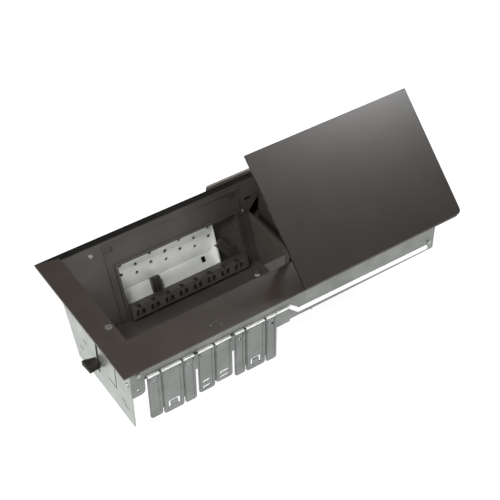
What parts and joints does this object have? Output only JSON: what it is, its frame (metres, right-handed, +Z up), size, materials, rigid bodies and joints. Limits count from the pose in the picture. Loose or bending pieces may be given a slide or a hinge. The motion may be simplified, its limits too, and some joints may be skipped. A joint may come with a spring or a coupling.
{
  "type": "floor socket box",
  "caption": "Recessed floor socket box with a dark frame, sloping socket carrier, galvanised housing, clamp claws and a sliding lid that lifts on arms.",
  "frame": {"origin": "middle of the frame's outline on the plane that seats on the floor", "axes": "+X right along the frame, +Y to the back, +Z up out of the floor"},
  "size_m": [0.2554, 0.1198, 0.1248],
  "materials": {
    "dark_frame": "satin dark bronze paint",
    "dark_lid": "satin dark bronze paint",
    "dark_plastic": "fine moulded",
    "black_rubber": "matte",
    "grey_rail": "satin",
    "galvanised": "galvanised sheet",
    "bright_zinc": "zinc plated sheet",
    "plated_steel": "zinc plated",
    "mechanism_steel": "black oxide",
    "bush_plastic": "moulded",
    "claw_black": "blackened cast"
  },
  "bodies": {
    "root": {"flange_frame": "dark_frame", "screw_ferrules": "dark_frame", "socket_carrier": "dark_plastic", "clip_strip": "dark_plastic", "cable_post": "dark_plastic", "cable_arm": "dark_plastic", "right_cover": "dark_plastic", "right_cheek": "dark_plastic", "well_return_panel": "dark_plastic", "compartment_floor": "dark_plastic", "rear_housing": "dark_plastic", "rear_seal_strip": "black_rubber", "rear_rail": "grey_rail", "front_wall": "galvanised", "left_end_wall": "galvanised", "right_end_wall": "galvanised", "back_wall": "galvanised", "carrier_bracket": "galvanised", "wall_rivets": "galvanised", "claw_guides": "galvanised", "perforated_guard": "bright_zinc", "rear_slope_plate": "bright_zinc", "carrier_screws": "plated_steel", "guide_rods": "plated_steel", "rocker_pin": "plated_steel", "button_spring": "plated_steel", "earth_screw": "plated_steel", "rod_bushes": "bush_plastic"},
    "lid_carriage": {"lid_carriage": "mechanism_steel", "arm_pins": "plated_steel"},
    "lift_arms": {"lift_arms": "mechanism_steel"},
    "lid": {"lid_plate": "dark_lid", "lid_lugs": "mechanism_steel", "lug_pins": "plated_steel"},
    "release_button": {"release_button": "dark_frame"},
    "lift_rocker": {"lift_rocker": "mechanism_steel"},
    "clamp_screw_left": {"clamp_screw_left": "plated_steel"},
    "clamp_screw_right": {"clamp_screw_right": "plated_steel"},
    "claw_left": {"claw_left": "claw_black"},
    "claw_right": {"claw_right": "claw_black"}
  },
  "joints": [
    {"name": "lid_slide", "type": "slide", "parent": "root", "child": "lid_carriage", "axis": [1, 0, 0], "range_m": [-0.1113, 0]},
    {"name": "arm_swing", "type": "hinge", "parent": "lid_carriage", "child": "lift_arms", "pos_m": [0, -0.02824, -0.00956], "axis": [1, 0, 0], "range_deg": [-87.46, 0]},
    {"name": "lid_tilt", "type": "hinge", "parent": "lift_arms", "child": "lid", "pos_m": [0, -0.02928, 0.0181], "axis": [1, 0, 0], "range_deg": [0, 44.9]},
    {"name": "button_press", "type": "slide", "parent": "root", "child": "release_button", "axis": [0, 0, -1], "range_m": [0, 0.0005], "stiffness_N_per_m": 2000, "springref_m": -0.0002},
    {"name": "rocker_lift", "type": "hinge", "parent": "root", "child": "lift_rocker", "pos_m": [-0.05995, -0.04425, 0.0007], "axis": [1, 0, 0], "range_deg": [0, 3.9], "deforming": ["button_spring"]},
    {"name": "left_screw_turn", "type": "hinge", "parent": "root", "child": "clamp_screw_left", "pos_m": [-0.11355, -0.01785, -0.0003], "axis": [0, 0, -1], "range_deg": [-3120, 12400]},
    {"name": "left_claw_lift", "type": "slide", "parent": "root", "child": "claw_left", "axis": [0, 0, 1], "range_m": [-0.006, 0.024]},
    {"name": "right_screw_turn", "type": "hinge", "parent": "root", "child": "clamp_screw_right", "pos_m": [0.11355, -0.01785, -0.0003], "axis": [0, 0, -1], "range_deg": [-1060, 6210]},
    {"name": "right_claw_lift", "type": "slide", "parent": "root", "child": "claw_right", "axis": [0, 0, 1], "range_m": [-0.002, 0.012]}
  ],
  "couplings": [
    {"joint": "lid_tilt", "follows": "arm_swing", "ratio": -0.51296},
    {"joint": "rocker_lift", "follows": "button_press", "rad_per_m": 135.14},
    {"joint": "left_screw_turn", "follows": "left_claw_lift", "rad_per_m": 8976},
    {"joint": "right_screw_turn", "follows": "right_claw_lift", "rad_per_m": 8976}
  ]
}
